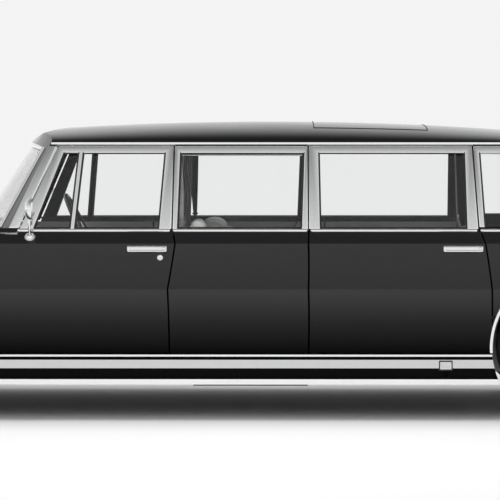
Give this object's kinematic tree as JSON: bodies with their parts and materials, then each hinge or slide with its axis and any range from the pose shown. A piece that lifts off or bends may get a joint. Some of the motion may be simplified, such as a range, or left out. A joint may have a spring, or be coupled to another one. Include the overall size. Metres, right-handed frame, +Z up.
{
  "type": "limousine",
  "caption": "Long formal saloon with opening doors, bonnet and boot lid, a fixed glazed centre panel each side, a partitioned cabin with facing seats, steered front wheels and rolling tyres",
  "frame": {"origin": "on the ground, midway along and across the car", "axes": "X forward, Y to the car's left, Z up"},
  "size_m": [6.24, 2.0714, 1.5099],
  "materials": {
    "paint": "deep black gloss lacquer",
    "glass": "clear, faintly tinted",
    "chrome": "polished plating",
    "lens": "clear lamp glass",
    "red_lens": "red lamp plastic",
    "tyre": "black rubber",
    "wheel_paint": "black lacquered steel with a bright cap",
    "chassis": "satin black underbody paint",
    "iron": "grey castings",
    "leather": "light grey hide",
    "trim": "polished dark veneer",
    "rim_plastic": "black moulded rim"
  },
  "bodies": {
    "body": {"floor": "chassis", "sills": "paint", "front_wings": "paint", "nose_panel": "paint", "cowl": "paint", "roof": "paint", "centre_panels": "paint", "rear_body": "paint", "windscreen": "glass", "rear_window": "glass", "fixed_side_glass": "glass", "drip_rails": "chrome", "sill_mouldings": "chrome", "grille": "chrome", "front_bumper": "chrome", "rear_bumper": "chrome", "lamp_bezels": "chrome", "lamp_lenses": "lens", "tail_lamps": "red_lens", "front_subframe": "chassis", "rear_axle": "chassis", "front_seat": "leather", "middle_seat": "leather", "rear_seat": "leather", "partition": "trim", "partition_glass": "glass", "dashboard": "trim", "engine": "iron", "exhaust": "chassis"},
    "door_front_left_body": {"door_front_left": "paint", "glass_front_left": "glass", "fittings_front_left": "chrome"},
    "wheel_front_left_body": {"wheel_front_left": "wheel_paint", "tyre_front_left": "tyre"},
    "door_rear_left_body": {"door_rear_left": "paint", "glass_rear_left": "glass", "fittings_rear_left": "chrome"},
    "wheel_rear_left_body": {"wheel_rear_left": "wheel_paint", "tyre_rear_left": "tyre"},
    "knuckle_left_body": {"knuckle_left": "chassis"},
    "door_front_right_body": {"door_front_right": "paint", "glass_front_right": "glass", "fittings_front_right": "chrome"},
    "wheel_front_right_body": {"wheel_front_right": "wheel_paint", "tyre_front_right": "tyre"},
    "door_rear_right_body": {"door_rear_right": "paint", "glass_rear_right": "glass", "fittings_rear_right": "chrome"},
    "wheel_rear_right_body": {"wheel_rear_right": "wheel_paint", "tyre_rear_right": "tyre"},
    "knuckle_right_body": {"knuckle_right": "chassis"},
    "bonnet_body": {"bonnet": "paint"},
    "boot_lid_body": {"boot_lid": "paint"},
    "steering_wheel_body": {"steering_wheel": "rim_plastic"}
  },
  "joints": [
    {"name": "door_front_left_hinge", "type": "hinge", "parent": "body", "child": "door_front_left_body", "pos_m": [1.546, 0.93, 0.6], "axis": [0, 0, -1], "range_deg": [0, 65]},
    {"name": "door_rear_left_hinge", "type": "hinge", "parent": "body", "child": "door_rear_left_body", "pos_m": [-0.422, 0.93, 0.6], "axis": [0, 0, -1], "range_deg": [0, 65]},
    {"name": "door_front_right_hinge", "type": "hinge", "parent": "body", "child": "door_front_right_body", "pos_m": [1.546, -0.93, 0.6], "axis": [0, 0, 1], "range_deg": [0, 65]},
    {"name": "door_rear_right_hinge", "type": "hinge", "parent": "body", "child": "door_rear_right_body", "pos_m": [-0.422, -0.93, 0.6], "axis": [0, 0, 1], "range_deg": [0, 65]},
    {"name": "bonnet_hinge", "type": "hinge", "parent": "body", "child": "bonnet_body", "pos_m": [1.463, 0, 0.96497], "axis": [0, -1, 0], "range_deg": [0, 60]},
    {"name": "boot_lid_hinge", "type": "hinge", "parent": "body", "child": "boot_lid_body", "pos_m": [-2.233, 0, 0.9737], "axis": [0, 1, 0], "range_deg": [0, 70]},
    {"name": "steer_left", "type": "hinge", "parent": "body", "child": "knuckle_left_body", "pos_m": [2.22, 0.733, 0.375], "axis": [0, 0, 1], "range_deg": [-35, 35]},
    {"name": "steer_right", "type": "hinge", "parent": "body", "child": "knuckle_right_body", "pos_m": [2.22, -0.733, 0.375], "axis": [0, 0, 1], "range_deg": [-35, 35]},
    {"name": "steering_wheel_turn", "type": "hinge", "parent": "body", "child": "steering_wheel_body", "pos_m": [0.8424, 0.4, 0.9315], "axis": [-0.8988, 0, 0.4384], "range_deg": [-565, 565]},
    {"name": "wheel_front_left_spin", "type": "hinge", "parent": "knuckle_left_body", "child": "wheel_front_left_body", "pos_m": [2.22, 0.793, 0.375], "axis": [0, 1, 0], "continuous": true},
    {"name": "wheel_rear_left_spin", "type": "hinge", "parent": "body", "child": "wheel_rear_left_body", "pos_m": [-1.68, 0.793, 0.375], "axis": [0, 1, 0], "continuous": true},
    {"name": "wheel_front_right_spin", "type": "hinge", "parent": "knuckle_right_body", "child": "wheel_front_right_body", "pos_m": [2.22, -0.793, 0.375], "axis": [0, 1, 0], "continuous": true},
    {"name": "wheel_rear_right_spin", "type": "hinge", "parent": "body", "child": "wheel_rear_right_body", "pos_m": [-1.68, -0.793, 0.375], "axis": [0, 1, 0], "continuous": true}
  ],
  "couplings": [
    {"joint": "steer_right", "follows": "steer_left", "ratio": 1},
    {"joint": "steering_wheel_turn", "follows": "steer_left", "ratio": 16}
  ]
}
